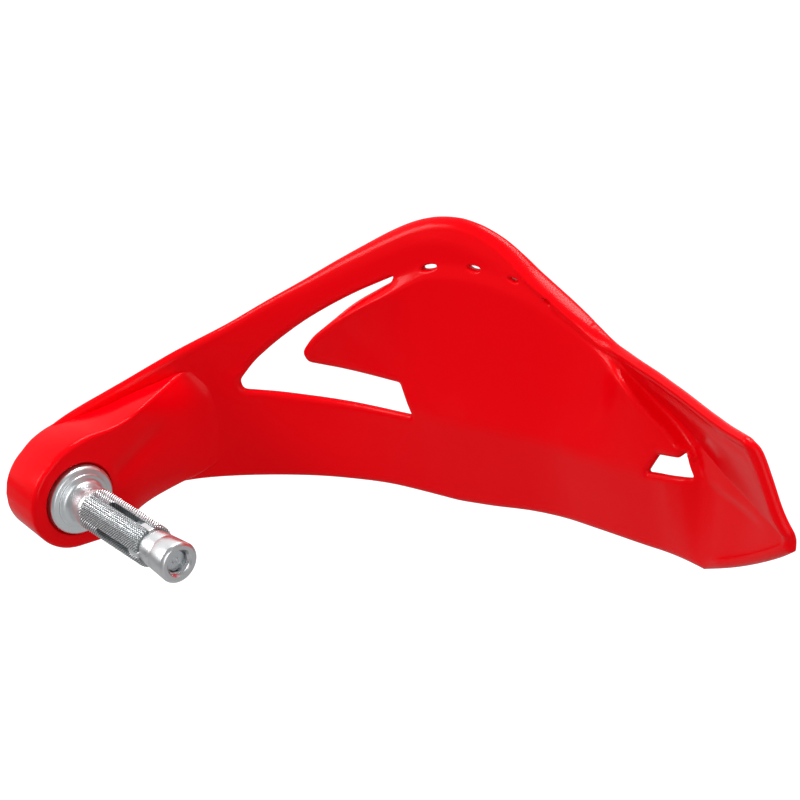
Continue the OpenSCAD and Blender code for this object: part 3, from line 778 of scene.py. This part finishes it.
# The keys that stand up from the cone into the sleeve's slots.
KEY_X, KEY_R, KEY_HALF, KEY_EDGE = (37.5, 42.5), (5.1, 6.5), 0.95, 0.15
BOX_FACES = [(0, 1, 3, 2), (4, 6, 7, 5), (0, 4, 5, 1), (2, 3, 7, 6), (0, 2, 6, 4), (1, 5, 7, 3)]
for slot_turn in SLOT_TURNS:
    a = math.radians(slot_turn)
    outward = np.array([0, math.cos(a), math.sin(a)])
    sideways = np.array([0, -math.sin(a), math.cos(a)])
    corners = [(np.array([x, 0, 0]) + outward * r + sideways * w) * MM
               for x in KEY_X for r in KEY_R for w in (-KEY_HALF, KEY_HALF)]
    piece = make("wedge_key_%d" % (slot_turn % 360), corners, BOX_FACES, False)
    bevel = piece.modifiers.new("edges", "BEVEL")
    bevel.width, bevel.segments = KEY_EDGE * MM, 2
    piece.data.materials.append(aluminium)
    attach(piece, "wedge")
wedge.data.materials.append(aluminium)
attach(wedge, "wedge")
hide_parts("wedge_nut")

for node, finish in (("draw_bolt", zinc), ("bolt_washer", zinc), ("boss_bush", steel)):
    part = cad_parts[node]
    part.data.materials.clear()
    part.data.materials.append(finish)

# Camera at the photo's angle, fitted to the photo: its direction and distance, the point that it
# looks at, and its focal length in pixels of a picture 800 pixels wide.
AZIMUTH, ELEVATION, DISTANCE = math.radians(50.825), math.radians(24.238), 750 * MM
AIM_RIGHT, AIM_UP, FOCAL_PX, WIDTH_PX = 101.709, 31.455, 2358, 800
back = Vector((math.sin(AZIMUTH) * math.cos(ELEVATION), -math.cos(AZIMUTH) * math.cos(ELEVATION),
               math.sin(ELEVATION)))
right = Vector((math.cos(AZIMUTH), math.sin(AZIMUTH), 0))
up = back.cross(right)
target = right * AIM_RIGHT * MM + up * AIM_UP * MM + Vector(FACE)
camera = bpy.data.objects.new("camera", bpy.data.cameras.new("camera"))
bpy.context.scene.collection.objects.link(camera)
camera.location = target + back * DISTANCE
camera.rotation_mode = "QUATERNION"
camera.rotation_quaternion = (-back).to_track_quat("-Z", "Y")
camera.data.lens = FOCAL_PX / WIDTH_PX * camera.data.sensor_width
camera.data.clip_start, camera.data.clip_end = 0.01, 20
bpy.context.scene.camera = camera
bpy.context.scene.view_settings.view_transform = "Standard"

# The studio, seen as pure white by the camera. Mirrored in the guard it is a bright backdrop
# behind it and a dim room behind the camera, and dull surfaces get an even fill from it.
BACKDROP, ROOM, FILL = 1.0, 0.32, 0.68
world = bpy.data.worlds.new("studio")
bpy.context.scene.world = world
world.use_nodes = True
tree = world.node_tree
shade = tree.nodes["Background"]
ways = add_node(tree, "ShaderNodeTexCoord")
AWAY = (-math.sin(AZIMUTH), math.cos(AZIMUTH), 0.0)
behind = add_node(tree, "ShaderNodeVectorMath", {0: ways.outputs["Generated"], 1: AWAY},
                  operation="DOT_PRODUCT")
backdrop = add_node(tree, "ShaderNodeMapRange",
                    {"Value": behind.outputs["Value"], "From Min": -0.05, "From Max": 0.35,
                     "To Min": ROOM, "To Max": BACKDROP})
rays = add_node(tree, "ShaderNodeLightPath")
mirrored = add_node(tree, "ShaderNodeMath", {0: rays.outputs["Is Glossy Ray"],
                                             1: rays.outputs["Is Transmission Ray"]},
                    operation="MAXIMUM")
lit = add_node(tree, "ShaderNodeMix",
               {0: mirrored.outputs[0], 2: FILL, 3: backdrop.outputs["Result"]},
               data_type="FLOAT")
seen = add_node(tree, "ShaderNodeMix",
                {0: rays.outputs["Is Camera Ray"], 2: lit.outputs[0], 3: 1.0},
                data_type="FLOAT")
tree.links.new(seen.outputs[0], shade.inputs["Strength"])
shade.inputs["Color"].default_value = (1, 1, 1, 1)


def softbox(name, spot, size, watts):
    """A rectangular lamp turned towards the guard's middle."""
    lamp = bpy.data.lights.new(name, "AREA")
    lamp.shape = "RECTANGLE"
    lamp.size, lamp.size_y = size
    lamp.energy = watts
    obj = bpy.data.objects.new(name, lamp)
    bpy.context.scene.collection.objects.link(obj)
    obj.location = spot
    obj.rotation_mode = "QUATERNION"
    obj.rotation_quaternion = (Vector(spot) - Vector(GUARD_MIDDLE)).to_track_quat("Z", "Y")


# One lamp high over the guard's far side, one on the left by the camera, and a weak one low on
# the right that puts a soft highlight on the sleeve.
GUARD_MIDDLE = (0.1, 0.06, 0.035)
softbox("overhead", (0.0, 0.3, 1.1), (0.5, 0.5), 13)
softbox("left", (-0.55, -0.75, 0.55), (0.35, 0.5), 6)
softbox("right", (0.95, -0.3, 0.15), (0.5, 0.6), 2.5)

FLOOR_Z, FLOOR_HALF = -0.35, 6.0
floor_mesh = bpy.data.meshes.new("floor")
floor_mesh.from_pydata([(x * FLOOR_HALF, y * FLOOR_HALF, FLOOR_Z)
                        for x, y in ((-1, -1), (1, -1), (1, 1), (-1, 1))], [], [(0, 1, 2, 3)])
floor = bpy.data.objects.new("floor", floor_mesh)
bpy.context.scene.collection.objects.link(floor)
# Matt paper that the camera sees as white, with the guard's soft shadow on it. What it throws
# back onto the guard is a good deal darker, which keeps the red deep.
PAPER_LIFT = 0.85
paper, tree, shader = finish_of("matt_paper", "969696", Roughness=0.9)
rays = add_node(tree, "ShaderNodeLightPath")
lift = add_node(tree, "ShaderNodeMath", {0: rays.outputs["Is Camera Ray"], 1: PAPER_LIFT},
                operation="MULTIPLY")
glow = add_node(tree, "ShaderNodeEmission", {"Strength": lift.outputs[0]})
lifted = add_node(tree, "ShaderNodeAddShader", {0: shader.outputs[0], 1: glow.outputs[0]})
tree.links.new(lifted.outputs[0], tree.nodes["Material Output"].inputs["Surface"])
floor.data.materials.append(paper)
